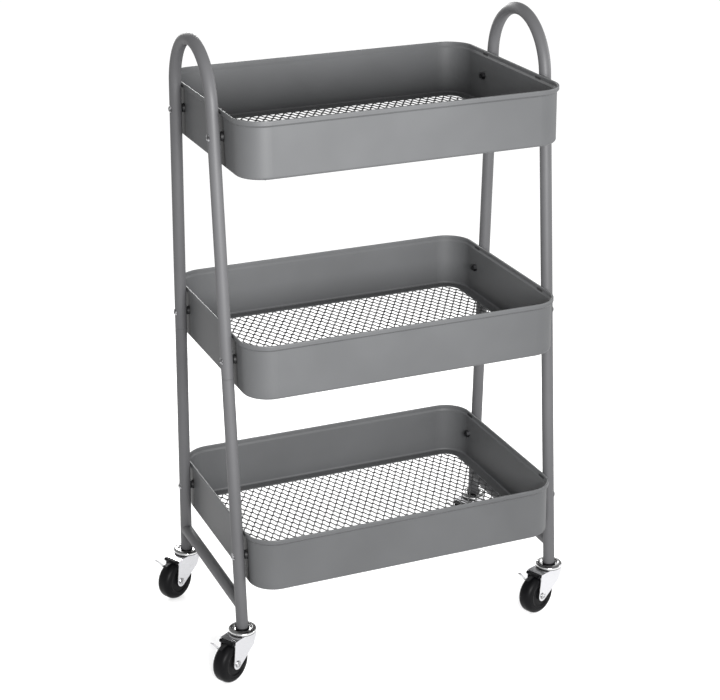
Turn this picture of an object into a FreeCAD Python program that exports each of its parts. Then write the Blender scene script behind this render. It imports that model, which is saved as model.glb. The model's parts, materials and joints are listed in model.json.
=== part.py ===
import FreeCAD, Part
import math
import os
import Sketcher
from FreeCAD import Placement, Rotation, Vector

doc = FreeCAD.newDocument("UtilityCart")

# ---------------------------------------------------------------- driving dimensions (mm)
DIMENSIONS = (
    ("overall_height", 766.0, "floor to the top of the handle arches"),
    ("origin_shift", 17.0, "cart's middle plane to the origin, which lies under the middle of its box"),
    ("foot_inset", 32.2, "outside of the tray wall to a leg's centre at the leg's end"),
    ("leg_lift", 5.2, "top of the fork's plate to the end of a leg tube"),
    ("seam_rise", 14.2, "middle tray's underside to the joint between handle tube and lower leg"),
    ("arch_radius", 70.0, "handle arch, at the tube's centre line"),
    ("tube_diameter", 14.6, "frame tube"),
    ("tube_wall", 1.2, "frame tube wall"),
    ("crossbar_height", 90.0, "floor to the centre of the bar that joins two legs"),
    ("cope_wall", 2.0, "leg's centre to the tip of the crossbar's coped end"),
    ("spigot_length", 44.0, "sleeve inside the tube joint"),
    ("spigot_rise", 13.0, "how much of the sleeve is above the joint"),
    ("rim_gap", 0.3, "tray rim to the frame tube beside it"),
    ("tray_length", 397.0, "outside of the tray wall"),
    ("tray_depth", 289.0, "outside of the tray wall"),
    ("tray_corner", 33.0, "outer corner radius of the tray wall"),
    ("tray_wall_height", 67.5, "tray wall, bottom bend to rim"),
    ("sheet_thickness", 1.2, "tray sheet"),
    ("rim_flare", 2.5, "how far the rim stands out of the wall"),
    ("rim_height", 7.5, "height of the flared rim"),
    ("bend_radius", 2.4, "inner bend between the wall and the bottom flange"),
    ("flange_width", 14.0, "outer wall face to the flange's inner edge"),
    ("bottom_tray_height", 118.0, "floor to the underside of the bottom tray's flange"),
    ("middle_tray_height", 363.8, "floor to the underside of the middle tray's flange"),
    ("top_tray_drop", 140.2, "top of the arches to the underside of the top tray's flange"),
    ("screw_rise", 36.0, "tray underside to its screws"),
    ("mesh_thickness", 1.2, "expanded metal floor"),
    ("mesh_pitch_across", 11.0, "short way of a diamond, along the cart's length"),
    ("mesh_pitch_along", 19.2, "long way of a diamond, along the cart's depth"),
    ("strand_width", 2.1, "metal between two diamonds"),
    ("mesh_border", 4.5, "outer wall face to the edge of the mesh"),
    ("mesh_cover", 5.0, "how far the flange reaches past the mesh's closed edge strip"),
    ("screw_diameter", 4.8, "shank"),
    ("screw_head_diameter", 9.4, "truss head"),
    ("screw_head_height", 2.6, "truss head"),
    ("nut_flats", 8.0, "across flats"),
    ("nut_height", 4.2, "hexagon nut"),
    ("bolt_end", 1.6, "shank past the nut"),
    ("seat_depth", 0.9, "flat pressed into a tube under a screw head"),
    ("hole_clearance", 0.1, "radial play of a screw in its holes"),
    ("plug_wall", 2.1, "plug between the caster stem and the bore of the leg"),
    ("stem_reach", 21.0, "stem inside the leg"),
    ("collar_height", 1.5, "plug's collar under the end of the leg"),
    ("collar_width", 0.9, "how far the collar stands out of the leg"),
    ("wheel_diameter", 50.8, "caster wheel"),
    ("wheel_width", 20.2, "caster wheel"),
    ("tread_crown", 7.0, "rounding of the wheel's shoulders"),
    ("caster_trail", 24.6, "swivel axis to wheel axle"),
    ("wheel_side_gap", 0.5, "wheel to the fork's cheek on each side"),
    ("wheel_head_gap", 5.0, "wheel to the top of the fork's plate"),
    ("fork_sheet", 1.4, "fork sheet"),
    ("cheek_lobe", 7.0, "radius of a cheek round the axle"),
    ("cup_diameter", 34.0, "raceway cup"),
    ("cup_recess", 4.1, "gap in the cup round the leg's end"),
    ("cup_floor", 2.4, "cup's lower edge to the floor of its recess"),
    ("cup_height", 4.9, "raceway cup"),
    ("race_rise", 1.2, "raised ring on the fork's plate"),
    ("axle_diameter", 6.0, "wheel axle"),
    ("running_clearance", 0.06, "radial play of a turning fit"),
    ("fixed_clearance", 0.02, "radial play of a fit that stays put"),
    ("body_gap", 0.4, "gap between parts that move past each other"),
    ("pivot_back", 5.1, "wheel axle to the brake lever's pivot, along the fork"),
    ("pivot_drop", 2.4, "top of the fork's plate to the lever's pivot"),
    ("pivot_pin", 2.0, "stub pins of the lever"),
    ("ear_radius", 2.2, "ears that carry the pins"),
    ("lever_width", 5.0, "lever strip"),
)

sheet = doc.addObject("Spreadsheet::Sheet", "Sizes")
for row, (alias, number, note) in enumerate(DIMENSIONS, start=1):
    sheet.set("A%d" % row, alias)
    sheet.set("B%d" % row, str(number))
    sheet.set("C%d" % row, note)
    sheet.setAlias("B%d" % row, alias)
doc.recompute()


def size(alias):
    """A driving dimension, read back from the sheet."""
    return float(sheet.get(alias))


# ---------------------------------------------------------------- places worked out from them
# sizes that follow from others, as expressions on the sheet
FOOT_OFFSET = "(Sizes.tray_depth / 2 - Sizes.foot_inset)"
FORK_TOP = "(Sizes.wheel_diameter + Sizes.wheel_head_gap)"
FORK_INSIDE = "(Sizes.wheel_width + 2 * Sizes.wheel_side_gap)"
FORK_WIDTH = "(%s + 2 * Sizes.fork_sheet)" % FORK_INSIDE
FOOT_HEIGHT = "(%s + Sizes.leg_lift)" % FORK_TOP
SEAM_HEIGHT = "(Sizes.middle_tray_height + Sizes.seam_rise)"
CUP_MOUTH = "(Sizes.tube_diameter + 2 * Sizes.cup_recess)"
STEM_RADIUS = "(Sizes.tube_diameter / 2 - Sizes.tube_wall - Sizes.plug_wall)"


def number(expression):
    """The value of a sheet expression."""
    return float(sheet.evalExpression(expression))


TUBE_RADIUS = size("tube_diameter") / 2
FRAME_X = size("tray_length") / 2 + size("rim_flare") + size("rim_gap") + TUBE_RADIUS
FOOT_Y = number(FOOT_OFFSET)
FOOT_Z = number(FOOT_HEIGHT)
SEAM_Z = number(SEAM_HEIGHT)
TRAY_Z = {"bottom": size("bottom_tray_height"), "middle": size("middle_tray_height"),
          "top": size("overall_height") - size("top_tray_drop")}
ARCH_CENTRE = size("overall_height") - TUBE_RADIUS - size("arch_radius")
ARCH_RISE = ARCH_CENTRE - FOOT_Z
# each leg is the straight line from its foot that just touches the arch's circle
LEG_LEAN = (math.acos(size("arch_radius") / math.hypot(FOOT_Y, ARCH_RISE))
            - math.atan2(ARCH_RISE, FOOT_Y))
TRAYS = ("bottom", "middle", "top")
SIDES = (("left", -1), ("right", 1))
ENDS = (("front", -1), ("back", 1))
# how far each caster has swung, from trailing straight towards -X, degrees
CASTER_SWING = {("left", "front"): 32.0, ("left", "back"): 30.0,
                ("right", "front"): 22.0, ("right", "back"): 28.0}


def leg_y(height):
    """Distance of a leg's centre line from the middle plane at a height above the floor."""
    return FOOT_Y - (height - FOOT_Z) * math.tan(LEG_LEAN)


def screw_height(tray):
    return TRAY_Z[tray] + size("screw_rise")


# ---------------------------------------------------------------- modelling helpers
def new_body(label):
    body = doc.addObject("PartDesign::Body", label)
    body.Label = label
    return body


def new_sketch(body, plane, name, lift=None):
    """A sketch on one of the body's origin planes; lift is an expression along its normal."""
    sketch = body.newObject("Sketcher::SketchObject", name)
    for feature in body.Origin.OriginFeatures:
        if feature.Role == plane:
            sketch.AttachmentSupport = [(feature, "")]
    sketch.MapMode = "FlatFace"
    if lift:
        sketch.setExpression("AttachmentOffset.Base.z", lift)
    return sketch


def bind(sketch, constraint, expression):
    """Add a constraint and tie its value to the sheet."""
    index = sketch.addConstraint(constraint)
    sketch.setExpression("Constraints[%d]" % index, expression)


def add_circle(sketch, radius, x="0", y="0"):
    """A circle whose radius and centre are expressions."""
    start = Vector(number(x), number(y), 0)
    circle = sketch.addGeometry(Part.Circle(start, Vector(0, 0, 1), number(radius)))
    bind(sketch, Sketcher.Constraint("Radius", circle, number(radius)), radius)
    if x == "0" and y == "0":
        sketch.addConstraint(Sketcher.Constraint("Coincident", circle, 3, -1, 1))
        return
    bind(sketch, Sketcher.Constraint("DistanceX", -1, 1, circle, 3, start.x), x)
    bind(sketch, Sketcher.Constraint("DistanceY", -1, 1, circle, 3, start.y), y)


def add_outline(sketch, corners):
    """A closed outline of straight edges; each corner is a pair of expressions."""
    places = [Vector(number(x), number(y), 0) for x, y in corners]
    first = sketch.GeometryCount
    count = len(places)
    for index in range(count):
        sketch.addGeometry(Part.LineSegment(places[index], places[(index + 1) % count]))
    for index in range(count):
        following = first + (index + 1) % count
        sketch.addConstraint(Sketcher.Constraint("Coincident", first + index, 2, following, 1))
    for index, (x, y) in enumerate(corners):
        edge = first + index
        bind(sketch, Sketcher.Constraint("DistanceX", -1, 1, edge, 1, places[index].x), x)
        bind(sketch, Sketcher.Constraint("DistanceY", -1, 1, edge, 1, places[index].y), y)


def pad(body, sketch, length, midplane=False, reverse=False):
    feature = body.newObject("PartDesign::Pad", sketch.Name + "_pad")
    feature.Profile = sketch
    feature.setExpression("Length", length)
    feature.Midplane = midplane
    feature.Reversed = reverse
    return feature


def pocket(body, sketch, length=None, midplane=False, reverse=False):
    """Cut a sketch out of the body, right through it where no length is given."""
    feature = body.newObject("PartDesign::Pocket", sketch.Name + "_pocket")
    feature.Profile = sketch
    feature.Midplane = midplane
    feature.Reversed = reverse
    if length:
        feature.setExpression("Length", length)
    else:
        feature.Type = "ThroughAll"
    return feature


def revolve(body, sketch):
    feature = body.newObject("PartDesign::Revolution", sketch.Name + "_turned")
    feature.Profile = sketch
    feature.ReferenceAxis = (sketch, ["V_Axis"])
    feature.Angle = 360
    return feature


def shaped(label, shape, placement=Placement()):
    """A sub-part whose shape comes from Part's own functions."""
    feature = doc.addObject("Part::Feature", label)
    feature.Label = label
    feature.Shape = shape
    feature.Placement = placement
    return feature


def leg_placement(side, end, height):
    """Where a tube's own Z runs up a leg's centre line from a height above the floor."""
    return Placement(Vector(side * FRAME_X, end * leg_y(height), height),
                     Rotation(Vector(1, 0, 0), math.degrees(end * LEG_LEAN)))


nodes = []

# ---------------------------------------------------------------- end frames


def handle_tube(label, side):
    """The inverted U: two leaning legs and the round arch, one bent tube."""
    body = new_body(label)
    spine = new_sketch(body, "YZ_Plane", label + "_line")
    foot = (FOOT_Y, FOOT_Z)
    seam = (leg_y(SEAM_Z), SEAM_Z)
    touch = (size("arch_radius") * math.cos(LEG_LEAN),
             ARCH_CENTRE + size("arch_radius") * math.sin(LEG_LEAN))
    spine.addGeometry(Part.LineSegment(Vector(*seam, 0), Vector(*touch, 0)))
    circle = Part.Circle(Vector(0, ARCH_CENTRE, 0), Vector(0, 0, 1), size("arch_radius"))
    spine.addGeometry(Part.ArcOfCircle(circle, LEG_LEAN, math.pi - LEG_LEAN))
    spine.addGeometry(Part.LineSegment(Vector(-touch[0], touch[1], 0), Vector(-seam[0], seam[1], 0)))
    spine.addGeometry(Part.Point(Vector(*foot, 0)), True)
    spine.addConstraint(Sketcher.Constraint("PointOnObject", 1, 3, -2))
    spine.addConstraint(Sketcher.Constraint("Tangent", 0, 2, 1, 1))
    spine.addConstraint(Sketcher.Constraint("Tangent", 1, 2, 2, 1))
    spine.addConstraint(Sketcher.Constraint("Symmetric", 0, 1, 2, 2, -2))
    spine.addConstraint(Sketcher.Constraint("PointOnObject", 3, 1, 0))
    bind(spine, Sketcher.Constraint("Radius", 1, size("arch_radius")), "Sizes.arch_radius")
    bind(spine, Sketcher.Constraint("DistanceY", -1, 1, 1, 3, ARCH_CENTRE),
         "Sizes.overall_height - Sizes.tube_diameter / 2 - Sizes.arch_radius")
    bind(spine, Sketcher.Constraint("DistanceX", -1, 1, 3, 1, foot[0]), FOOT_OFFSET)
    bind(spine, Sketcher.Constraint("DistanceY", -1, 1, 3, 1, foot[1]), FOOT_HEIGHT)
    bind(spine, Sketcher.Constraint("DistanceY", -1, 1, 0, 1, seam[1]), SEAM_HEIGHT)
    ring = body.newObject("Sketcher::SketchObject", label + "_ring")
    ring.AttachmentSupport = [(spine, "Edge1")]
    ring.MapMode = "NormalToEdge"
    add_circle(ring, "Sizes.tube_diameter / 2")
    add_circle(ring, "Sizes.tube_diameter / 2 - Sizes.tube_wall")
    doc.recompute()
    pipe = body.newObject("PartDesign::AdditivePipe", label + "_bent")
    pipe.Profile = ring
    pipe.Spine = (spine, ["Edge1", "Edge2", "Edge3"])
    doc.recompute()
    for end_name, end in ENDS:
        for tray in ("middle", "top"):
            tube_screw_hole(body, side, end * leg_y(screw_height(tray)), screw_height(tray),
                            end_name + tray)
    body.Placement = Placement(Vector(side * FRAME_X, 0, 0), Rotation())
    nodes.append(body)


def tube_screw_hole(body, side, y, z, tag):
    """A through hole for a tray screw and the flat pressed under its head."""
    hole = new_sketch(body, "YZ_Plane", body.Name + tag + "_hole")
    add_circle(hole, "Sizes.screw_diameter / 2 + Sizes.hole_clearance", str(y), str(z))
    pocket(body, hole, midplane=True)
    seat = new_sketch(body, "YZ_Plane", body.Name + tag + "_seat",
                      "%d * (Sizes.tube_diameter / 2 - Sizes.seat_depth)" % side)
    add_circle(seat, "Sizes.screw_head_diameter / 2 + Sizes.hole_clearance", str(y), str(z))
    pocket(body, seat, "Sizes.tube_diameter / 2", reverse=side > 0)


def lower_leg(label, side, end):
    """A straight tube from the joint under the middle tray down to the caster."""
    body = new_body(label)
    ring = new_sketch(body, "XY_Plane", label + "_ring")
    add_circle(ring, "Sizes.tube_diameter / 2")
    add_circle(ring, "Sizes.tube_diameter / 2 - Sizes.tube_wall")
    doc.recompute()
    pad(body, ring, "%.9f * (%s - %s) - Sizes.rim_gap" % (1 / math.cos(LEG_LEAN), SEAM_HEIGHT, FOOT_HEIGHT))
    doc.recompute()
    along = (screw_height("bottom") - FOOT_Z) / math.cos(LEG_LEAN)
    tube_screw_hole(body, side, 0, along, "bottom")
    body.Placement = leg_placement(side, end, FOOT_Z)
    nodes.append(body)


def spigot(label, side, end):
    """The sleeve that joins the two tubes of a leg from inside."""
    body = new_body(label)
    ring = new_sketch(body, "XY_Plane", label + "_ring")
    add_circle(ring, "Sizes.tube_diameter / 2 - Sizes.tube_wall - Sizes.hole_clearance")
    add_circle(ring, "Sizes.tube_diameter / 2 - 2 * Sizes.tube_wall - Sizes.hole_clearance")
    doc.recompute()
    pad(body, ring, "Sizes.spigot_length")
    body.Placement = leg_placement(side, end, SEAM_Z - size("spigot_length") + size("spigot_rise"))
    nodes.append(body)


def crossbar(label, side):
    """The bar under the bottom tray, cut to sit against the two legs it is welded to."""
    half_length = leg_y(size("crossbar_height")) - size("cope_wall")
    length = "2 * (%s - %.9f * (Sizes.crossbar_height - %s) - Sizes.cope_wall)" % (
        FOOT_OFFSET, math.tan(LEG_LEAN), FOOT_HEIGHT)
    outer = doc.addObject("Part::Cylinder", label + "_outside")
    outer.setExpression("Radius", "Sizes.tube_diameter / 2")
    inner = doc.addObject("Part::Cylinder", label + "_bore")
    inner.setExpression("Radius", "Sizes.tube_diameter / 2 - Sizes.tube_wall")
    for cylinder in (outer, inner):
        cylinder.setExpression("Height", length)
        cylinder.Placement = Placement(Vector(0, -half_length, 0),
                                       Rotation(Vector(1, 0, 0), -90))
    tube = doc.addObject("Part::Cut", label + "_tube")
    tube.Base = outer
    tube.Tool = inner
    legs = []
    for end_name, end in ENDS:
        leg = doc.addObject("Part::Cylinder", label + end_name + "_leg")
        leg.setExpression("Radius", "Sizes.tube_diameter / 2 + Sizes.fixed_clearance")
        leg.setExpression("Height", "6 * Sizes.tube_diameter")
        upright = leg_placement(0, end, size("crossbar_height") - 3 * size("tube_diameter"))
        leg.Placement = Placement(upright.Base - Vector(0, 0, size("crossbar_height")),
                                  upright.Rotation)
        legs.append(leg)
    both = doc.addObject("Part::MultiFuse", label + "_legs")
    both.Shapes = legs
    bar = doc.addObject("Part::Cut", label)
    bar.Label = label
    bar.Base = tube
    bar.Tool = both
    bar.Placement = Placement(Vector(side * FRAME_X, 0, size("crossbar_height")), Rotation())
    nodes.append(bar)


for side_name, side in SIDES:
    handle_tube(side_name + "_handle_tube", side)
    crossbar(side_name + "_crossbar", side)
    for end_name, end in ENDS:
        lower_leg("%s_%s_lower_leg" % (side_name, end_name), side, end)
        spigot("%s_%s_leg_spigot" % (side_name, end_name), side, end)

# ---------------------------------------------------------------- trays


def rounded_rectangle(length, depth, radius):
    """A wire in the XY plane centred on the origin, counter-clockwise, from the middle of -Y."""
    half_x = length / 2
    half_y = depth / 2
    turn = radius * (1 - math.sqrt(0.5))
    edges = []
    corners = ((half_x, -half_y), (half_x, half_y), (-half_x, half_y), (-half_x, -half_y))
    here = Vector(0, -half_y, 0)
    for index, (x, y) in enumerate(corners):
        sign_x = math.copysign(1, x)
        sign_y = math.copysign(1, y)
        on_long_side = Vector(x - sign_x * radius, y, 0)
        on_short_side = Vector(x, y - sign_y * radius, 0)
        into, out = (on_long_side, on_short_side) if index % 2 == 0 else (on_short_side, on_long_side)
        edges.append(Part.makeLine(here, into))
        edges.append(Part.Arc(into, Vector(x - sign_x * turn, y - sign_y * turn, 0), out).toShape())
        here = out
    edges.append(Part.makeLine(here, Vector(0, -half_y, 0)))
    return Part.Wire(edges)


def wall_profile(outer_y):
    """The tray's sheet in section: flange, bend, wall and flared rim with a rolled edge."""
    sheet_t = size("sheet_thickness")
    outer_bend = size("bend_radius") + sheet_t
    inner_bend = size("bend_radius")
    top = size("tray_wall_height")
    flare_start = top - size("rim_height")
    flare = size("rim_flare")
    half = math.sqrt(0.5)
    flange = outer_y - size("flange_width")
    bend = outer_y - outer_bend

    def at(y, z):
        return Vector(0, -y, z)

    edges = [
        Part.makeLine(at(flange, 0), at(bend, 0)),
        Part.Arc(at(bend, 0), at(bend + outer_bend * half, outer_bend * (1 - half)),
                 at(outer_y, outer_bend)).toShape(),
        Part.makeLine(at(outer_y, outer_bend), at(outer_y, flare_start)),
        Part.makeLine(at(outer_y, flare_start), at(outer_y + flare, flare_start + flare)),
        Part.makeLine(at(outer_y + flare, flare_start + flare), at(outer_y + flare, top - sheet_t)),
        Part.Arc(at(outer_y + flare, top - sheet_t), at(outer_y + flare - sheet_t, top),
                 at(outer_y + flare - 2 * sheet_t, top - sheet_t)).toShape(),
        Part.makeLine(at(outer_y + flare - 2 * sheet_t, top - sheet_t),
                      at(outer_y + flare - 2 * sheet_t, flare_start + flare)),
        Part.makeLine(at(outer_y + flare - 2 * sheet_t, flare_start + flare),
                      at(outer_y - sheet_t, flare_start)),
        Part.makeLine(at(outer_y - sheet_t, flare_start), at(outer_y - sheet_t, outer_bend)),
        Part.Arc(at(outer_y - sheet_t, outer_bend),
                 at(bend + inner_bend * half, outer_bend - inner_bend * half),
                 at(bend, sheet_t)).toShape(),
        Part.makeLine(at(bend, sheet_t), at(flange, sheet_t)),
        Part.makeLine(at(flange, sheet_t), at(flange, 0)),
    ]
    return Part.Wire(edges)


def tray_band(label, tray):
    """Wall and flange in one bent sheet, with a pressed boss and a hole at each screw."""
    path = rounded_rectangle(size("tray_length"), size("tray_depth"), size("tray_corner"))
    shape = path.makePipeShell([wall_profile(size("tray_depth") / 2)], True, False)
    wall_x = size("tray_length") / 2
    reach = FRAME_X - TUBE_RADIUS - wall_x
    rise = size("screw_rise")
    for side_name, side in SIDES:
        for end_name, end in ENDS:
            y = end * leg_y(screw_height(tray))
            outward = Vector(side, 0, 0)
            root = Vector(side * (wall_x - size("sheet_thickness") / 2), y, rise)
            boss = Part.makeCone(0.8 * TUBE_RADIUS, 0.7 * TUBE_RADIUS,
                                 reach + size("sheet_thickness") / 2, root, outward)
            shape = shape.fuse(boss)
    for side_name, side in SIDES:
        for end_name, end in ENDS:
            y = end * leg_y(screw_height(tray))
            inside = Vector(side * (wall_x - 10), y, rise)
            hole = Part.makeCylinder(size("screw_diameter") / 2 + size("hole_clearance"),
                                     30, inside, Vector(side, 0, 0))
            shape = shape.cut(hole)
    nodes.append(shaped(label, shape.removeSplitter(), Placement(Vector(0, 0, TRAY_Z[tray]), Rotation())))


def expanded_metal():
    """The diamond mesh of one tray floor: a sheet with rows of diamond openings, staggered."""
    length = size("tray_length") - 2 * size("mesh_border")
    depth = size("tray_depth") - 2 * size("mesh_border")
    corner = size("tray_corner") - size("mesh_border")
    across = size("mesh_pitch_across")
    along = size("mesh_pitch_along")
    slope = math.hypot(across, along)
    half_x = across / 2 - size("strand_width") * slope / along / 2
    half_y = along / 2 - size("strand_width") * slope / across / 2
    # whole diamonds only, up to a closed edge strip that the flange covers
    edge = size("flange_width") - size("mesh_border") - size("mesh_cover")
    rows = int((depth / 2 - edge) // (along / 2))
    columns = int((length / 2 - edge) // across) + 1
    wires = [rounded_rectangle(length, depth, corner)]
    for row in range(-rows, rows + 1):
        y = row * along / 2
        shift = across / 2 if row % 2 else 0
        for column in range(-columns, columns + 1):
            x = column * across + shift
            corner_x = max(0, abs(x) - (length / 2 - corner))
            corner_y = max(0, abs(y) - (depth / 2 - corner))
            if abs(x) + half_x > length / 2 - edge or abs(y) + half_y > depth / 2 - edge + 4:
                continue
            if math.hypot(corner_x, corner_y) > corner - edge:
                continue
            wires.append(Part.makePolygon([Vector(x - half_x, y, 0), Vector(x, y + half_y, 0),
                                           Vector(x + half_x, y, 0), Vector(x, y - half_y, 0),
                                           Vector(x - half_x, y, 0)]))
    return Part.Face(wires).extrude(Vector(0, 0, -size("mesh_thickness")))


# ---------------------------------------------------------------- fasteners


def truss_screw():
    """One tray screw along +X: cross recess in a domed head, plain shank; origin under the head."""
    head = size("screw_head_diameter") / 2
    rise = size("screw_head_height")
    dome = (head ** 2 + rise ** 2) / (2 * rise)
    ball = Part.makeSphere(dome, Vector(rise - dome, 0, 0))
    keep = Part.makeCylinder(head + 1, rise + 1, Vector(0, 0, 0), Vector(1, 0, 0))
    shape = ball.common(keep)
    slot = head * 0.95
    for width, height in ((slot, 1.1), (1.1, slot)):
        shape = shape.cut(Part.makeBox(rise, width, height,
                                       Vector(rise * 0.45, -width / 2, -height / 2)))
    shank = Part.makeCylinder(size("screw_diameter") / 2, SCREW_LENGTH, Vector(-SCREW_LENGTH, 0, 0),
                              Vector(1, 0, 0))
    return shape.fuse(shank).removeSplitter()


def hexagon_nut():
    """One chamfered nut along +X; origin on the face that meets the tray wall."""
    corner = size("nut_flats") / math.sqrt(3)
    height = size("nut_height")
    points = [Vector(0, corner * math.cos(math.radians(60 * turn)),
                     corner * math.sin(math.radians(60 * turn))) for turn in range(7)]
    prism = Part.Face(Part.makePolygon(points)).extrude(Vector(-height, 0, 0))
    cone = Part.makeCone(corner + height, corner - 0.7, height + 0.7, Vector(0, 0, 0),
                         Vector(-1, 0, 0))
    bore = Part.makeCylinder(size("screw_diameter") / 2 + size("fixed_clearance"), height,
                             Vector(0, 0, 0), Vector(-1, 0, 0))
    return prism.common(cone).cut(bore)


SEAT_X = FRAME_X + TUBE_RADIUS - size("seat_depth")
NUT_X = size("tray_length") / 2 - size("sheet_thickness")
SCREW_LENGTH = SEAT_X - NUT_X + size("nut_height") + size("bolt_end")


def fastener_group(label, fastener, tray, distance):
    """The four equal fasteners of one tray, pointing outwards at a distance from the middle."""
    copies = []
    for side_name, side in SIDES:
        for end_name, end in ENDS:
            copy = fastener.copy()
            if side < 0:
                copy.rotate(Vector(0, 0, 0), Vector(0, 0, 1), 180)
            copy.translate(Vector(side * distance, end * leg_y(screw_height(tray)), 0))
            copies.append(copy)
    nodes.append(shaped(label, Part.makeCompound(copies),
                        Placement(Vector(0, 0, screw_height(tray)), Rotation())))


mesh_shape = expanded_metal()
screw_shape = truss_screw()
nut_shape = hexagon_nut()
for tray in TRAYS:
    tray_band(tray + "_tray_band", tray)
    nodes.append(shaped(tray + "_tray_mesh", mesh_shape,
                        Placement(Vector(0, 0, TRAY_Z[tray]), Rotation())))
    fastener_group(tray + "_tray_screws", screw_shape, tray, SEAT_X)
    fastener_group(tray + "_tray_nuts", nut_shape, tray, NUT_X)

# ---------------------------------------------------------------- casters
# A caster is drawn with its swivel axis on Z, its floor at Z = 0 and its wheel towards -X.
AXLE_HEIGHT = size("wheel_diameter") / 2
PIVOT_X = "-(Sizes.caster_trail + Sizes.pivot_back)"
PIVOT_Z = "(%s - Sizes.pivot_drop)" % FORK_TOP
PLATE_UNDER = "(%s - Sizes.fork_sheet)" % FORK_TOP


def caster_place(side_name, side, end_name, end):
    return Placement(Vector(side * FRAME_X, end * FOOT_Y, 0),
                     Rotation(Vector(0, 0, 1), CASTER_SWING[(side_name, end_name)]))


def stem_sleeve(label, place, end):
    """The plastic plug in the leg's end, with a collar under the tube and an upright bore."""
    plug = doc.addObject("Part::Cylinder", label + "_plug")
    plug.setExpression("Radius", "Sizes.tube_diameter / 2 - Sizes.tube_wall - Sizes.hole_clearance / 2")
    plug.setExpression("Height", "Sizes.stem_reach + 1")
    collar = doc.addObject("Part::Cylinder", label + "_collar")
    collar.setExpression("Radius", "Sizes.tube_diameter / 2 + Sizes.collar_width")
    collar.setExpression("Height", "Sizes.collar_height")
    lean = Rotation(Vector(1, 0, 0), math.degrees(end * LEG_LEAN))
    plug.Placement = Placement(lean.multVec(Vector(0, 0, -1)), lean)
    under_leg = size("collar_height") + size("hole_clearance") / 2
    collar.Placement = Placement(lean.multVec(Vector(0, 0, -under_leg)), lean)
    both = doc.addObject("Part::MultiFuse", label + "_solid")
    both.Shapes = [plug, collar]
    bore = doc.addObject("Part::Cylinder", label + "_bore")
    bore.setExpression("Radius", STEM_RADIUS + " + Sizes.fixed_clearance")
    bore.setExpression("Height", "Sizes.stem_reach + 20")
    bore.Placement = Placement(Vector(0, 0, -10), Rotation())
    sleeve = doc.addObject("Part::Cut", label)
    sleeve.Label = label
    sleeve.Base = both
    sleeve.Tool = bore
    sleeve.Placement = Placement(Vector(place.Base.x, place.Base.y, FOOT_Z), Rotation())
    nodes.append(sleeve)


def caster_stem(label, place):
    """The pin that goes up into the leg; its riveted foot carries the fork."""
    body = new_body(label)
    section = new_sketch(body, "XZ_Plane", label + "_section")
    pin = STEM_RADIUS
    foot = STEM_RADIUS + " + 2.4"
    under = PLATE_UNDER + " - Sizes.body_gap"
    top = FOOT_HEIGHT + " + Sizes.stem_reach"
    add_outline(section, (("0", under + " - 1.2"), (foot, under + " - 1.2"), (foot, under), (pin, under),
                          (pin, top + " - 1"), (pin + " - 1", top), ("0", top)))
    revolve(body, section)
    body.Placement = place
    nodes.append(body)


def raceway_cup(label, place):
    """The pressed ring above the fork: domed outside, with a recess round the leg's end."""
    body = new_body(label)
    section = new_sketch(body, "XZ_Plane", label + "_section")
    bore = STEM_RADIUS + " + Sizes.fixed_clearance"
    rim = "Sizes.cup_diameter / 2"
    skirt = rim + " - 1.6"
    mouth = CUP_MOUTH + " / 2"
    low = FORK_TOP + " + Sizes.body_gap"
    roof = low + " + Sizes.race_rise"
    floor = low + " + Sizes.cup_floor"
    crest = low + " + Sizes.cup_height"
    add_outline(section, ((bore, roof), (skirt, roof), (skirt, low), (rim, low), (rim, low + " + 2"),
                          (skirt, crest + " - 1"), (mouth + " + 1", crest), (mouth, crest + " - 0.5"),
                          (mouth, floor), (bore, floor)))
    revolve(body, section)
    body.Placement = place
    nodes.append(body)


def fork(label, place):
    """The stamped fork: flat plate, raised race, two cheeks tapering to the axle."""
    body = new_body(label)
    plate_end = "-Sizes.caster_trail - 3"
    top = FORK_TOP
    axle_x = "-Sizes.caster_trail"
    axle_z = "Sizes.wheel_diameter / 2"
    lobe = "Sizes.cheek_lobe"
    side = new_sketch(body, "XZ_Plane", label + "_side")
    add_outline(side, ((plate_end, top), (axle_x + " - 0.985 * " + lobe, axle_z + " + 0.17 * " + lobe),
                       (axle_x + " + 0.55 * " + lobe, axle_z + " - 0.835 * " + lobe),
                       ("6.5", top + " - 17.5"), ("11.8", top + " - 6.5"), ("11.8", top)))
    pad(body, side, FORK_WIDTH, midplane=True)
    rounding = new_sketch(body, "XZ_Plane", label + "_lobe")
    add_circle(rounding, lobe, axle_x, axle_z)
    pad(body, rounding, FORK_WIDTH, midplane=True)
    race = new_sketch(body, "XY_Plane", label + "_race", top + " - 1")
    add_circle(race, "Sizes.cup_diameter / 2 - 2.6")
    pad(body, race, "1 + Sizes.race_rise")
    doc.recompute()
    inside = new_sketch(body, "XZ_Plane", label + "_inside")
    far = "Sizes.wheel_diameter + Sizes.caster_trail"
    back = "-(" + far + ")"
    add_outline(inside, ((back, "0"), (far, "0"), (far, PLATE_UNDER), (back, PLATE_UNDER)))
    pocket(body, inside, FORK_INSIDE, midplane=True)
    bore = new_sketch(body, "XY_Plane", label + "_bore")
    add_circle(bore, STEM_RADIUS + " + Sizes.running_clearance")
    pocket(body, bore, midplane=True)
    pivot = new_sketch(body, "XZ_Plane", label + "_axle_holes")
    add_circle(pivot, "Sizes.axle_diameter / 2 + Sizes.fixed_clearance", axle_x, axle_z)
    pocket(body, pivot, midplane=True)
    body.Placement = place
    nodes.append(body)


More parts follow.
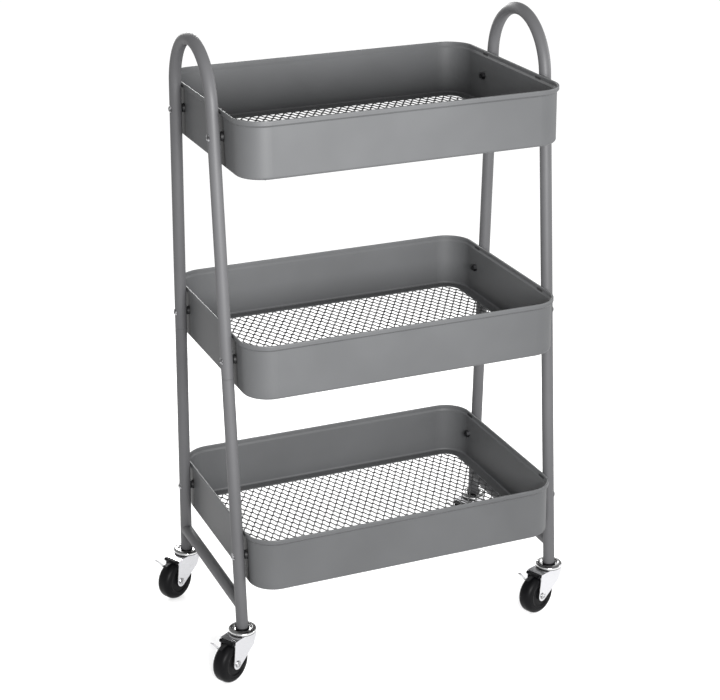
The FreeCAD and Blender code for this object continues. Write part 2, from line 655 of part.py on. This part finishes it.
def wheel(label, place):
    """A solid wheel with a rounded tread, a groove and a recessed web on each side."""
    body = new_body(label)
    section = new_sketch(body, "XY_Plane", label + "_section")
    rim = "Sizes.wheel_diameter / 2"
    half = "Sizes.wheel_width / 2"
    crown = "Sizes.tread_crown"
    bore = "Sizes.axle_diameter / 2 + Sizes.running_clearance"
    upper = ((bore, half), ("Sizes.axle_diameter / 2 + 3.4", half),
             ("Sizes.axle_diameter / 2 + 4.2", half + " - 1.6"),
             (rim + " - 7.6", half + " - 1.6"), (rim + " - 6.8", half + " - 0.3"),
             (rim + " - 0.74 * " + crown, half + " - 0.3"),
             (rim + " - 0.3 * " + crown, half + " - 0.25 * " + crown),
             (rim + " - 0.08 * " + crown, half + " - 0.62 * " + crown),
             (rim, half + " - 1.2 * " + crown))
    lower = tuple((x, "-(" + y + ")") for x, y in reversed(upper))
    add_outline(section, upper + lower)
    revolve(body, section)
    shift = Placement(Vector(-size("caster_trail"), 0, AXLE_HEIGHT), Rotation())
    body.Placement = place.multiply(shift)
    nodes.append(body)


def axle(label, place):
    """The rivet through both cheeks, with a flat head on each side."""
    body = new_body(label)
    section = new_sketch(body, "XY_Plane", label + "_section")
    shaft = "Sizes.axle_diameter / 2"
    head = "Sizes.axle_diameter / 2 + 1.3"
    out = FORK_WIDTH + " / 2"
    half = ((shaft, out), (head, out), (head, out + " + 0.6"), (head + " - 0.7", out + " + 1.3"),
            ("0", out + " + 1.3"))
    other = tuple((x, "-(" + y + ")") for x, y in reversed(half))
    add_outline(section, half + other)
    revolve(body, section)
    shift = Placement(Vector(-size("caster_trail"), 0, AXLE_HEIGHT), Rotation())
    body.Placement = place.multiply(shift)
    nodes.append(body)


def brake_housing(label, place):
    """The block under the fork's plate over the wheel, with two ears for the lever."""
    body = new_body(label)
    block = new_sketch(body, "XZ_Plane", label + "_block")
    end_x = "-Sizes.caster_trail - 2.4"
    width = FORK_INSIDE + " - Sizes.hole_clearance"
    add_outline(block, ((end_x, "Sizes.wheel_diameter / 2"), ("-12", "Sizes.wheel_diameter / 2"),
                        ("-12", PLATE_UNDER), (end_x, PLATE_UNDER)))
    pad(body, block, width, midplane=True)
    ears = new_sketch(body, "XZ_Plane", label + "_ears")
    add_circle(ears, "Sizes.ear_radius", PIVOT_X, PIVOT_Z)
    pad(body, ears, width, midplane=True)
    webs = new_sketch(body, "XZ_Plane", label + "_webs")
    low = PIVOT_Z + " - Sizes.ear_radius"
    high = PLATE_UNDER + " - Sizes.hole_clearance"
    add_outline(webs, ((PIVOT_X, low), (end_x + " + 1", low + " - Sizes.body_gap"),
                       (end_x + " + 1", high), (PIVOT_X, high)))
    pad(body, webs, width, midplane=True)
    doc.recompute()
    gap = new_sketch(body, "XZ_Plane", label + "_gap")
    far = "-Sizes.caster_trail - Sizes.wheel_diameter"
    add_outline(gap, ((far, "0"), (end_x, "0"), (end_x, FOOT_HEIGHT), (far, FOOT_HEIGHT)))
    pocket(body, gap, FORK_INSIDE + " - 6", midplane=True)
    room = new_sketch(body, "XZ_Plane", label + "_wheel_room")
    add_circle(room, "Sizes.wheel_diameter / 2 + 2 * Sizes.body_gap", "-Sizes.caster_trail",
               "Sizes.wheel_diameter / 2")
    pocket(body, room, midplane=True)
    holes = new_sketch(body, "XZ_Plane", label + "_pivot_holes")
    add_circle(holes, "Sizes.pivot_pin / 2 + Sizes.running_clearance", PIVOT_X, PIVOT_Z)
    pocket(body, holes, midplane=True)
    body.Placement = place
    nodes.append(body)


def brake_lever(label, place):
    """The pressed strip that turns on its own stub pins; its tail sticks up behind the wheel."""
    body = new_body(label)
    pin = new_sketch(body, "XZ_Plane", label + "_pin")
    add_circle(pin, "Sizes.pivot_pin / 2")
    pad(body, pin, FORK_INSIDE + " - 3 * Sizes.hole_clearance", midplane=True)
    hub = new_sketch(body, "XZ_Plane", label + "_hub")
    add_circle(hub, "1.9")
    pad(body, hub, FORK_INSIDE + " - 7", midplane=True)
    strip = new_sketch(body, "XZ_Plane", label + "_strip")
    add_outline(strip, (("0", "-1.9"), ("-13.4", "-4.0"), ("-27.6", "11.3"), ("-26.5", "12.2"),
                        ("-12.8", "-2.5"), ("0", "-0.4")))
    pad(body, strip, "Sizes.lever_width", midplane=True)
    body.Placement = place.multiply(Placement(Vector(number(PIVOT_X), 0, number(PIVOT_Z)), Rotation()))
    nodes.append(body)


for side_name, side in SIDES:
    for end_name, end in ENDS:
        corner = "%s_%s_" % (side_name, end_name)
        place = caster_place(side_name, side, end_name, end)
        stem_sleeve(corner + "stem_sleeve", place, end)
        caster_stem(corner + "caster_stem", place)
        raceway_cup(corner + "raceway_cup", place)
        fork(corner + "caster_fork", place)
        wheel(corner + "caster_wheel", place)
        axle(corner + "wheel_axle", place)
        brake_housing(corner + "brake_housing", place)
        brake_lever(corner + "brake_lever", place)

# ---------------------------------------------------------------- check and write
shift = Placement(Vector(size("origin_shift"), 0, 0), Rotation())
for node in nodes:
    node.Placement = shift.multiply(node.Placement)
doc.recompute()
for thing in doc.Objects:
    for word in ("Invalid", "Error"):
        if word in thing.State:
            raise RuntimeError("%s is %s" % (thing.Label, word))
os.makedirs("parts", exist_ok=True)
for node in nodes:
    if node.Shape.isNull() or not node.Shape.isValid():
        raise RuntimeError("bad shape: " + node.Label)
    if node.Shape.Volume < 1:
        raise RuntimeError("empty shape: " + node.Label)
    node.Shape.exportStep("parts/%s.step" % node.Label)
print("wrote", len(nodes), "nodes")
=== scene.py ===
import json
import math

import bmesh
import bpy
from mathutils import Matrix, Vector


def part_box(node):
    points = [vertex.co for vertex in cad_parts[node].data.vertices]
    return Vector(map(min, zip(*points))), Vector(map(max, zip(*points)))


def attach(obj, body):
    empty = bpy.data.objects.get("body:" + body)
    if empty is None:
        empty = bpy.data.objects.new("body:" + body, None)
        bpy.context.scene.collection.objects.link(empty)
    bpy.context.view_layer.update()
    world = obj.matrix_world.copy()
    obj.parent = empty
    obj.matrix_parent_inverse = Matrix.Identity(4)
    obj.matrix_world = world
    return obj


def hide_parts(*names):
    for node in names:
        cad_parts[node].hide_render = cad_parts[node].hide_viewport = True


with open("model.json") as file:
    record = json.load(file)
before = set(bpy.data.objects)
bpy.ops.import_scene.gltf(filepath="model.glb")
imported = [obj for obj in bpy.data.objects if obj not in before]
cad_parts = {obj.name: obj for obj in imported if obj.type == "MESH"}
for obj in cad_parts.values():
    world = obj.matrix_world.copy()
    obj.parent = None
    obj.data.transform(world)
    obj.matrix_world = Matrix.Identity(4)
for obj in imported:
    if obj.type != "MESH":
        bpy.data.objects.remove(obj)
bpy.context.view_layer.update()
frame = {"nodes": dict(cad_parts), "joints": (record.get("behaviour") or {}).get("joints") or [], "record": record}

MM = 0.001
BOSS_REACH = 2.8 * MM
BLACK = (0.004, 0.004, 0.0045)
TRAYS = ("bottom", "middle", "top")
CORNERS = ("left_front", "left_back", "right_front", "right_back")
MIDDLE_X = sum(corner.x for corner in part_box("top_tray_band")) / 2
END_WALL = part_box("top_tray_band")[1].x - MIDDLE_X - BOSS_REACH
TUBE_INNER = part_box("right_handle_tube")[0].x - MIDDLE_X


def nut_centre(tray):
    """Half the spacing and the height of a tray's nuts, which lie on the legs' centre lines."""
    low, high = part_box(tray + "_tray_nuts")
    return high.y - (high.z - low.z) / 2, (high.z + low.z) / 2


NUT_TOP, NUT_BOTTOM = nut_centre("top"), nut_centre("bottom")
LEG_LEAN = (NUT_BOTTOM[0] - NUT_TOP[0]) / (NUT_TOP[1] - NUT_BOTTOM[1])


# ---------------------------------------------------------------- shader expressions
class Wire:
    """A value in a material's tree; arithmetic on it adds Math nodes."""

    def __init__(self, finish, socket):
        self.finish = finish
        self.socket = socket

    def _math(self, operation, first, second):
        return self.finish.node("ShaderNodeMath", {"operation": operation}, {0: first, 1: second})

    def __add__(self, other):
        return self._math("ADD", self, other)

    def __radd__(self, other):
        return self._math("ADD", other, self)

    def __sub__(self, other):
        return self._math("SUBTRACT", self, other)

    def __rsub__(self, other):
        return self._math("SUBTRACT", other, self)

    def __mul__(self, other):
        return self._math("MULTIPLY", self, other)

    def __rmul__(self, other):
        return self._math("MULTIPLY", other, self)

    def __truediv__(self, other):
        return self._math("DIVIDE", self, other)

    def __pow__(self, other):
        return self._math("POWER", self, other)

    def __abs__(self):
        return self.finish.node("ShaderNodeMath", {"operation": "ABSOLUTE"}, {0: self})

    def at_least(self, other):
        return self._math("MAXIMUM", self, other)


class Finish:
    """One material: a Principled shader whose sockets take numbers or wires."""

    def __init__(self, name):
        self.material = bpy.data.materials.new(name)
        self.material.use_nodes = True
        self.tree = self.material.node_tree
        self.tree.nodes.clear()
        self.shader = self.tree.nodes.new("ShaderNodeBsdfPrincipled")
        output = self.tree.nodes.new("ShaderNodeOutputMaterial")
        self.tree.links.new(self.shader.outputs[0], output.inputs[0])
        place = self.tree.nodes.new("ShaderNodeTexCoord").outputs["Object"]
        self.place = Wire(self, place)
        split = self.tree.nodes.new("ShaderNodeSeparateXYZ")
        self.tree.links.new(place, split.inputs[0])
        self.x, self.y, self.z = (Wire(self, output) for output in split.outputs)

    def feed(self, socket, value):
        if isinstance(value, Wire):
            self.tree.links.new(value.socket, socket)
        else:
            socket.default_value = value

    def node(self, kind, settings=None, inputs=None, output=0):
        made = self.tree.nodes.new(kind)
        for name, value in (settings or {}).items():
            if name == "stops":
                ramp = made.color_ramp
                while len(ramp.elements) < len(value):
                    ramp.elements.new(0.5)
                for element, (position, shade) in zip(ramp.elements, value):
                    element.position = position
                    element.color = (shade, shade, shade, 1)
            else:
                setattr(made, name, value)
        for name, value in (inputs or {}).items():
            self.feed(made.inputs[name], value)
        return Wire(self, made.outputs[output])

    def stretched(self, x, y, z):
        """The object's own coordinates scaled along each axis."""
        return self.node("ShaderNodeVectorMath", {"operation": "MULTIPLY"},
                         {0: self.place, 1: (x, y, z)})

    def noise(self, scale, detail=2.0, rough=0.5, place=None):
        """Smooth noise from 0 to 1."""
        return self.node("ShaderNodeTexNoise", None, {
            "Vector": place or self.place, "Scale": scale, "Detail": detail, "Roughness": rough})

    def step(self, value, low, high):
        """0 below low, 1 above high, smooth between."""
        return self.node("ShaderNodeMapRange", {"interpolation_type": "SMOOTHSTEP"},
                         {"Value": value, "From Min": low, "From Max": high})

    def mix(self, factor, first, second):
        """A colour between two colours or wires."""
        made = self.tree.nodes.new("ShaderNodeMix")
        made.data_type = "RGBA"
        self.feed(made.inputs["Factor"], factor)
        for name, value in ((6, first), (7, second)):
            shade = value if isinstance(value, Wire) else (*value, 1)
            self.feed(made.inputs[name], shade)
        return Wire(self, made.outputs[2])

    def set(self, **inputs):
        for name, value in inputs.items():
            socket = self.shader.inputs[name.replace("_", " ")]
            if name == "Base_Color" and not isinstance(value, Wire):
                value = (*value, 1)
            self.feed(socket, value)

    def bump(self, height, distance, strength=1.0):
        self.set(Normal=self.node("ShaderNodeBump", None, {
            "Strength": strength, "Distance": distance, "Height": height}))


def powder_coat(name, shade, rims=()):
    """Satin baked paint: orange peel, faint mottling, a lighter painted highlight along rim crests, and painted
    black shade where end walls meet the legs.
    """
    finish = Finish(name)
    peel = finish.noise(850.0, 2.0, 0.55)
    pores = finish.noise(2600.0, 1.0, 0.5)
    cloud = finish.noise(7.0, 3.0, 0.6)
    highlight_patches = finish.noise(140.0, 4.0, 0.7)
    dark = tuple(0.93 * part for part in shade)
    light = tuple(1.06 * part for part in shade)
    colour = finish.mix(finish.step(cloud, 0.32, 0.68), dark, light)
    colour = finish.mix(finish.step(pores, 0.62, 0.80) * 0.10, colour, tuple(0.6 * p for p in shade))
    # Painted highlight: the crest of each rim is painted lighter, in patches set by noise.
    for level in rims:
        crest = finish.step(finish.z, level - 0.0022, level - 0.0004)
        past = finish.step(finish.z, level + 0.0006, level + 0.0016)
        painted_rim_highlight = crest * (1 - past) * (0.35 + 0.65 * finish.step(highlight_patches, 0.45, 0.62))
        colour = finish.mix(painted_rim_highlight * 0.45, colour, tuple(min(1, 1.5 * part) for part in shade))
    # Painted shadow: a black band on the end wall's outer face behind each leg, where the tube shades the gap, and
    # the boss reaching out to the tube painted black, partly as a dark spacer and partly as painted shade.
    if rims:
        reach = abs(finish.x - MIDDLE_X)
        off_leg = abs(abs(finish.y) + LEG_LEAN * (finish.z - NUT_TOP[1]) - NUT_TOP[0])
        beside_leg = 1 - finish.step(off_leg, 0.0062, 0.0078)
        painted_gap_shadow = beside_leg * finish.step(reach, END_WALL - 0.0005, END_WALL - 0.0003)
        spacer_painted_shade = finish.step(reach, END_WALL + 0.0003, END_WALL + 0.0005)
        for level in rims:
            below_rim = finish.step(finish.z, level - 0.0035, level - 0.0025)
            painted_gap_shadow = painted_gap_shadow * (1 - below_rim * (1 - finish.step(finish.z, level + 0.001, level + 0.002)))
            rolled = finish.step(finish.z, level - 0.0120, level - 0.0115)
            spacer_painted_shade = spacer_painted_shade * (1 - rolled * (1 - finish.step(finish.z, level + 0.001, level + 0.002)))
        # Paint the gap shadow and the spacer shade black.
        colour = finish.mix(painted_gap_shadow.at_least(spacer_painted_shade), colour, BLACK)
    finish.set(Base_Color=colour,
               Roughness=0.44 + 0.10 * cloud + 0.08 * peel,
               Specular_IOR_Level=0.25)
    finish.bump(0.7 * peel + 0.3 * pores, 0.00006, 0.55)
    return finish.material


def bright_plate(name, shade, rough, haze=0.05):
    """Nickel-chrome plating on pressed steel: near mirror, with faint waves and hairline marks."""
    finish = Finish(name)
    waves = finish.noise(120.0, 2.0, 0.5)
    hair = finish.noise(60.0, 3.0, 0.7, finish.stretched(1.0, 1.0, 30.0))
    smear = finish.noise(45.0, 3.0, 0.6)
    marks = finish.step(hair, 0.58, 0.74)
    dull = tuple(0.82 * part for part in shade)
    finish.set(Base_Color=finish.mix(marks * 0.5, shade, dull), Metallic=1.0,
               Roughness=rough + haze * smear + 0.10 * marks)
    finish.bump(waves * 0.8 + 0.2 * hair, 0.00006, 0.25)
    return finish.material


def zinc(name, shade, rough):
    """Plated fastener steel: grainy, a little cloudy."""
    finish = Finish(name)
    grain = finish.noise(1800.0, 2.0, 0.6)
    cloud = finish.noise(220.0, 2.0, 0.6)
    finish.set(Base_Color=finish.mix(finish.step(cloud, 0.3, 0.7), tuple(0.75 * p for p in shade), shade),
               Metallic=1.0, Roughness=rough + 0.18 * grain)
    finish.bump(grain, 0.00004, 0.4)
    return finish.material


def moulded(name, shade, rough, grain_scale, gloss=0.12):
    """Moulded black plastic or hard rubber: fine grain, light dust in places."""
    finish = Finish(name)
    grain = finish.noise(grain_scale, 2.0, 0.6)
    dust = finish.noise(70.0, 4.0, 0.65)
    settled = finish.step(dust, 0.55, 0.80)
    finish.set(Base_Color=finish.mix(settled * 0.35, shade, tuple(p + 0.006 for p in shade)),
               Roughness=rough + 0.16 * settled + 0.08 * grain, Specular_IOR_Level=gloss)
    finish.bump(grain, 0.00005, 0.5)
    return finish.material


def lever_black_near_pivot(corner):
    """Zinc strip, black within about 48 mm of the swivel axis; only the tail beyond stays bright."""
    finish = Finish("lever zinc " + corner)
    grain = finish.noise(1800.0, 2.0, 0.6)
    ragged = finish.noise(900.0, 2.0, 0.6)
    turn = next(joint for joint in frame["joints"] if joint["name"] == corner + "_swivel_turn")
    centre = turn["pos_m"]
    reach = ((finish.x - centre[0]) ** 2 + (finish.y - centre[1]) ** 2) ** 0.5
    # Black near the pivot, bright zinc on the tail past about 48 mm from the swivel axis.
    bright = finish.step(reach + 0.0006 * ragged, 0.0475, 0.0485)
    finish.set(Base_Color=finish.mix(bright, BLACK, (0.45, 0.45, 0.46)),
               Metallic=bright, Roughness=0.42 + 0.10 * grain - 0.16 * bright, Specular_IOR_Level=0.12)
    finish.bump(grain, 0.00004, 0.4)
    return finish.material


def tray_screw():
    """Plated head outside the tube; the shank between tube and tray is painted black as shade in the gap."""
    finish = Finish("screw zinc with painted gap shade")
    grain = finish.noise(1800.0, 2.0, 0.6)
    cloud = finish.noise(420.0, 2.0, 0.6)
    head = finish.step(abs(finish.x - MIDDLE_X), TUBE_INNER + 0.002, TUBE_INNER + 0.004)
    plated = finish.mix(finish.step(cloud, 0.42, 0.62), (0.07, 0.07, 0.072), (0.42, 0.42, 0.43))
    # Painted shade: black on the shank, plated zinc on the head.
    finish.set(Base_Color=finish.mix(head, BLACK, plated),
               Metallic=head, Roughness=0.30 + 0.12 * grain, Specular_IOR_Level=0.12)
    finish.bump(grain, 0.00004, 0.4)
    return finish.material


def chrome_painted_reflections(low, high):
    """Bright ring with painted reflection bands by height: dark at its foot, bright on the shoulder, dark at the
    turn-in under a bright lip.
    """
    finish = Finish("cup chrome painted reflections")
    waves = finish.noise(160.0, 2.0, 0.5)
    smear = finish.noise(60.0, 3.0, 0.6)
    height = (finish.z - low) / (high - low) + 0.06 * smear - 0.03
    # Painted reflection: dark and bright bands up the ring stand in for reflected surroundings.
    painted_reflection_bands = finish.node("ShaderNodeValToRGB", {"stops": [
        (0.0, 0.08), (0.20, 0.14), (0.30, 0.58), (0.56, 0.66), (0.72, 0.20), (0.90, 0.12), (1.0, 0.42)]},
        {"Fac": height})
    finish.set(Base_Color=painted_reflection_bands, Metallic=1.0, Roughness=0.10 + 0.06 * smear)
    finish.bump(waves, 0.00005, 0.25)
    return finish.material


def worn_pin():
    """Riveted axle end: plated steel with dark hammer marks."""
    finish = Finish("axle plating")
    marks = finish.noise(520.0, 2.0, 0.6)
    finish.set(Base_Color=finish.mix(finish.step(marks, 0.40, 0.60), (0.08, 0.08, 0.082), (0.46, 0.46, 0.47)),
               Metallic=1.0, Roughness=0.24 + 0.12 * marks)
    finish.bump(marks, 0.0001, 0.5)
    return finish.material


RIM_LEVELS = [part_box(tray + "_tray_band")[1].z for tray in TRAYS]
FINISHES = {
    "frame_paint": powder_coat("frame powder coat", (0.058, 0.058, 0.0605)),
    "tray_paint": powder_coat("tray powder coat with painted highlight and shade", (0.0560, 0.0572, 0.0590), RIM_LEVELS),
    "mesh_paint": powder_coat("mesh powder coat", (0.030, 0.0303, 0.0313)),
    "screw_steel": tray_screw(),
    "nut_black": zinc("nut black oxide", (0.06, 0.06, 0.063), 0.30),
    "bare_steel": zinc("plain zinc", (0.55, 0.55, 0.56), 0.28),
    "insert_plastic": moulded("leg plug plastic", BLACK, 0.42, 1400.0),
    "caster_chrome": chrome_painted_reflections(*(corner.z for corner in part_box("left_front_raceway_cup"))),
    "fork_chrome": bright_plate("fork chrome", (0.50, 0.50, 0.515), 0.22),
    "axle_steel": worn_pin(),
    "brake_plastic": moulded("brake plastic", (0.0025, 0.0025, 0.003), 0.40, 1500.0, 0.06),
    "lever_steel": lever_black_near_pivot("left_front"),
    "wheel_rubber": moulded("wheel rubber", (0.0028, 0.0028, 0.0032), 0.38, 1100.0, 0.07),
}

# ---------------------------------------------------------------- finishes on the carried-over parts
for part in frame["record"]["subparts"]:
    carried = frame["nodes"][part["node"]]
    carried.data.materials.clear()
    carried.data.materials.append(FINISHES[part["material_slot"]])
    for face in carried.data.polygons:
        face.material_index = 0
for corner in CORNERS[1:]:
    frame["nodes"][corner + "_brake_lever"].data.materials[0] = lever_black_near_pivot(corner)


def new_piece(name, mesh, slot, body="frame"):
    """Link a finished mesh as a piece that rides on a body."""
    piece = bpy.data.objects.new(name, mesh)
    bpy.context.scene.collection.objects.link(piece)
    mesh.materials.clear()
    mesh.materials.append(FINISHES[slot])
    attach(piece, body)
    return piece


# ---------------------------------------------------------------- expanded metal floors
MESH_ACROSS = 11.0 * MM
MESH_ALONG = 19.2 * MM
STRAND_WIDTH = 2.7 * MM
STRAND_RISE = 0.35 * MM
STRAND_SETBACK = 4.5 * MM
FLOOR_CORNER = 28.5 * MM


def inside_rounded(x, y, half_x, half_y, corner):
    """Whether a place lies inside a rounded rectangle centred on the origin."""
    past_x = max(0.0, abs(x) - (half_x - corner))
    past_y = max(0.0, abs(y) - (half_y - corner))
    return abs(x) <= half_x and abs(y) <= half_y and math.hypot(past_x, past_y) <= corner


def expanded_floor(tray):
    """Zigzag strands joined at their bonds; each strand climbs from a low bond to a high one."""
    node = tray + "_tray_mesh"
    low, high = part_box(node)
    half_x = (high.x - low.x) / 2 - STRAND_SETBACK
    half_y = (high.y - low.y) / 2 - STRAND_SETBACK
    corner = FLOOR_CORNER - STRAND_SETBACK
    thick = (high.z - low.z) * 0.95
    top = high.z - STRAND_RISE - 0.1 * MM
    model = bmesh.new()
    columns = int(half_x / (MESH_ACROSS / 2)) + 1
    rows = int(half_y / (MESH_ALONG / 2)) + 1
    bond = STRAND_WIDTH * 0.62
    for row in range(-rows, rows):
        rings = []
        for column in range(-columns, columns + 1):
            upper = (column + row) % 2 == 0
            x = column * MESH_ACROSS / 2
            y = (row + (1 if upper else 0)) * MESH_ALONG / 2 + (-0.5 if upper else 0.5) * STRAND_WIDTH * 0.5
            level = top + (STRAND_RISE if upper else -STRAND_RISE)
            for shift in (-bond / 2, bond / 2):
                place = Vector((MIDDLE_X + x + shift, y, level))
                if not inside_rounded(x, y, half_x, half_y, corner):
                    rings.append(None)
                    continue
                ring = []
                for side, lift in ((-1, 0), (1, 0), (1, -1), (-1, -1)):
                    across = Vector((0.0, side * STRAND_WIDTH * 0.54, 0.0))
                    ring.append(model.verts.new(place + across + Vector((0, 0, lift * thick))))
                rings.append(ring)
        for first, second in zip(rings, rings[1:]):
            if first and second:
                for index in range(4):
                    following = (index + 1) % 4
                    model.faces.new((first[index], first[following], second[following], second[index]))
        for index, ring in enumerate(rings):
            if ring and (index == 0 or not rings[index - 1]):
                model.faces.new(ring)
            if ring and (index == len(rings) - 1 or not rings[index + 1]):
                model.faces.new(reversed(ring))
    bmesh.ops.recalc_face_normals(model, faces=model.faces)
    mesh = bpy.data.meshes.new(tray + "_tray_strands")
    model.to_mesh(mesh)
    model.free()
    piece = new_piece(tray + "_tray_strands", mesh, "mesh_paint")
    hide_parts(node)
    return piece


for tray in TRAYS:
    expanded_floor(tray)

# ---------------------------------------------------------------- turned caster parts
TURN_STEPS = 72
CUP_MOUTH = 11.4 * MM
CUP_BORE = 4.05 * MM
WHEEL_RADIUS = 25.4 * MM
WHEEL_HALF_WIDTH = 10.1 * MM
WHEEL_BORE = 3.06 * MM


def turned(name, profile, place, axis, slot, body):
    """Spin a closed profile of (radius, along) round an axis through a place."""
    model = bmesh.new()
    side = axis.orthogonal().normalized()
    other = axis.cross(side)
    rings = []
    for step in range(TURN_STEPS):
        angle = math.tau * step / TURN_STEPS
        outward = side * math.cos(angle) + other * math.sin(angle)
        rings.append([model.verts.new(place + outward * radius + axis * along) for radius, along in profile])
    for step, ring in enumerate(rings):
        following = rings[(step + 1) % TURN_STEPS]
        for index in range(len(profile)):
            after = (index + 1) % len(profile)
            model.faces.new((ring[index], ring[after], following[after], following[index]))
    bmesh.ops.recalc_face_normals(model, faces=model.faces)
    for face in model.faces:
        face.smooth = True
    for edge in model.edges:
        if len(edge.link_faces) == 2 and edge.calc_face_angle(0) > math.radians(38):
            edge.smooth = False
    mesh = bpy.data.meshes.new(name)
    model.to_mesh(mesh)
    model.free()
    return new_piece(name, mesh, slot, body)


def arc(centre, radius, start, end, steps):
    """Points round a centre, from one angle to another in degrees."""
    points = []
    for index in range(steps + 1):
        angle = math.radians(start + (end - start) * index / steps)
        points.append((centre[0] + radius * math.cos(angle), centre[1] + radius * math.sin(angle)))
    return points


def cup_profile(rim, height, mouth, bore):
    """A rolled ring: round shoulder outside, bead round the mouth, flat floor inside."""
    shoulder = 2.3 * MM
    bead = 0.8 * MM
    points = [(bore, 1.3 * MM), (rim - 1.4 * MM, 1.3 * MM), (rim - 1.2 * MM, 0.0), (rim - 0.3 * MM, 0.0)]
    points += arc((rim - 0.35 * MM, 0.35 * MM), 0.35 * MM, -60, 0, 3)
    points += arc((rim - shoulder, height - shoulder - 0.55 * MM), shoulder, 0, 68, 8)
    points += arc((mouth + bead, height - bead), bead, 80, 180, 6)
    points += [(mouth, 2.4 * MM), (bore, 2.4 * MM)]
    return points


def wheel_profile(rim, half, bore):
    """Rounded tread and shoulders, a groove inside the shoulder, a dished web and a hub."""
    crown = 7.0 * MM
    flank = half - 0.3 * MM
    upper = [(bore, half), (bore + 3.2 * MM, half), (bore + 3.9 * MM, half - 1.4 * MM),
             (rim - 10.6 * MM, half - 1.6 * MM), (rim - 9.9 * MM, flank - 0.2 * MM), (rim - 9.3 * MM, flank),
             (rim - 7.9 * MM, flank), (rim - 7.6 * MM, flank - 0.5 * MM), (rim - 7.1 * MM, flank - 0.5 * MM)]
    upper += [(rim - crown + x, flank - crown + y) for x, y in arc((0, 0), crown, 88, 8, 12)]
    upper.append((rim, flank - crown - 1.2 * MM))
    return upper + [(radius, -along) for radius, along in reversed(upper)]


for corner in CORNERS:
    low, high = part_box(corner + "_raceway_cup")
    centre = (low + high) / 2
    cup = turned(corner + "_rolled_cup",
                 cup_profile((high.x - low.x) / 2, high.z - low.z, CUP_MOUTH, CUP_BORE),
                 Vector((centre.x, centre.y, low.z)), Vector((0, 0, 1)), "caster_chrome", "frame")
    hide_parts(corner + "_raceway_cup")
    spin = next(joint for joint in frame["joints"] if joint["name"] == corner + "_wheel_spin")
    tyre = turned(corner + "_tyre", wheel_profile(WHEEL_RADIUS, WHEEL_HALF_WIDTH, WHEEL_BORE),
                  Vector(spin["pos_m"]), Vector(spin["axis"]), "wheel_rubber", corner + "_wheel")
    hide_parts(corner + "_caster_wheel")
    pressed = frame["nodes"][corner + "_caster_fork"]
    weld = pressed.modifiers.new("seams", "WELD")
    weld.merge_threshold = 0.00001
    edge = pressed.modifiers.new("pressed edges", "BEVEL")
    edge.width = 0.0006
    edge.segments = 3
    edge.limit_method = "ANGLE"
    edge.angle_limit = math.radians(50)
    edge.harden_normals = True

# ---------------------------------------------------------------- studio
floor_mesh = bpy.data.meshes.new("studio_floor")
model = bmesh.new()
bmesh.ops.create_grid(model, x_segments=2, y_segments=2, size=30.0)
model.to_mesh(floor_mesh)
model.free()
floor = bpy.data.objects.new("studio_floor", floor_mesh)
bpy.context.scene.collection.objects.link(floor)
paper = Finish("studio paper")
fibre = paper.noise(60.0, 3.0, 0.6)
paper.set(Base_Color=paper.mix(fibre, (0.90, 0.90, 0.90), (0.94, 0.94, 0.94)), Roughness=0.9,
          Emission_Color=(1, 1, 1, 1), Emission_Strength=0.12)
floor_mesh.materials.append(paper.material)

world = bpy.data.worlds.new("studio")
world.use_nodes = True
world.node_tree.nodes["Background"].inputs["Color"].default_value = (1, 1, 1, 1)
world.node_tree.nodes["Background"].inputs["Strength"].default_value = 0.97
bpy.context.scene.world = world


def softbox(name, place, aim, width, height, power, spread=180):
    light = bpy.data.lights.new(name, "AREA")
    light.spread = math.radians(spread)
    light.shape = "RECTANGLE"
    light.size = width
    light.size_y = height
    light.energy = power
    lamp = bpy.data.objects.new(name, light)
    lamp.location = place
    lamp.rotation_euler = (Vector(aim) - Vector(place)).to_track_quat("-Z", "Y").to_euler()
    lamp.visible_camera = False
    bpy.context.scene.collection.objects.link(lamp)


softbox("key", (-0.25, -1.70, 0.84), (-0.04, 0, 0.62), 0.7, 0.45, 16.0, 74)
softbox("back fill", (0.30, 1.90, 0.90), (0, 0, 0.45), 0.9, 0.6, 8.0, 80)
softbox("side fill", (2.00, -0.10, 0.90), (0, 0, 0.45), 0.9, 0.6, 4.5, 80)

# ---------------------------------------------------------------- camera
CAMERA_TURN = math.radians(-22.19)
CAMERA_RISE = math.radians(19.97)
CAMERA_ROLL = math.radians(-0.62)
CAMERA_DISTANCE = 2.3047
CAMERA_AIM = Vector((MIDDLE_X - 0.0045, 0, 0.4139))
lens = bpy.data.cameras.new("studio_camera")
camera = bpy.data.objects.new("studio_camera", lens)
bpy.context.scene.collection.objects.link(camera)
back = Vector((math.sin(CAMERA_TURN) * math.cos(CAMERA_RISE),
               -math.cos(CAMERA_TURN) * math.cos(CAMERA_RISE), math.sin(CAMERA_RISE)))
camera.location = CAMERA_AIM + back * CAMERA_DISTANCE
camera.rotation_mode = "QUATERNION"
level_view = (-back).to_track_quat("-Z", "Y")
camera.rotation_quaternion = level_view @ Matrix.Rotation(CAMERA_ROLL, 3, "Z").to_quaternion()
lens.sensor_width = 36.0
lens.lens = 93.2
lens.shift_y = -0.0694
lens.clip_start = 0.1
lens.clip_end = 60.0
bpy.context.scene.camera = camera
bpy.context.scene.view_settings.view_transform = "Standard"
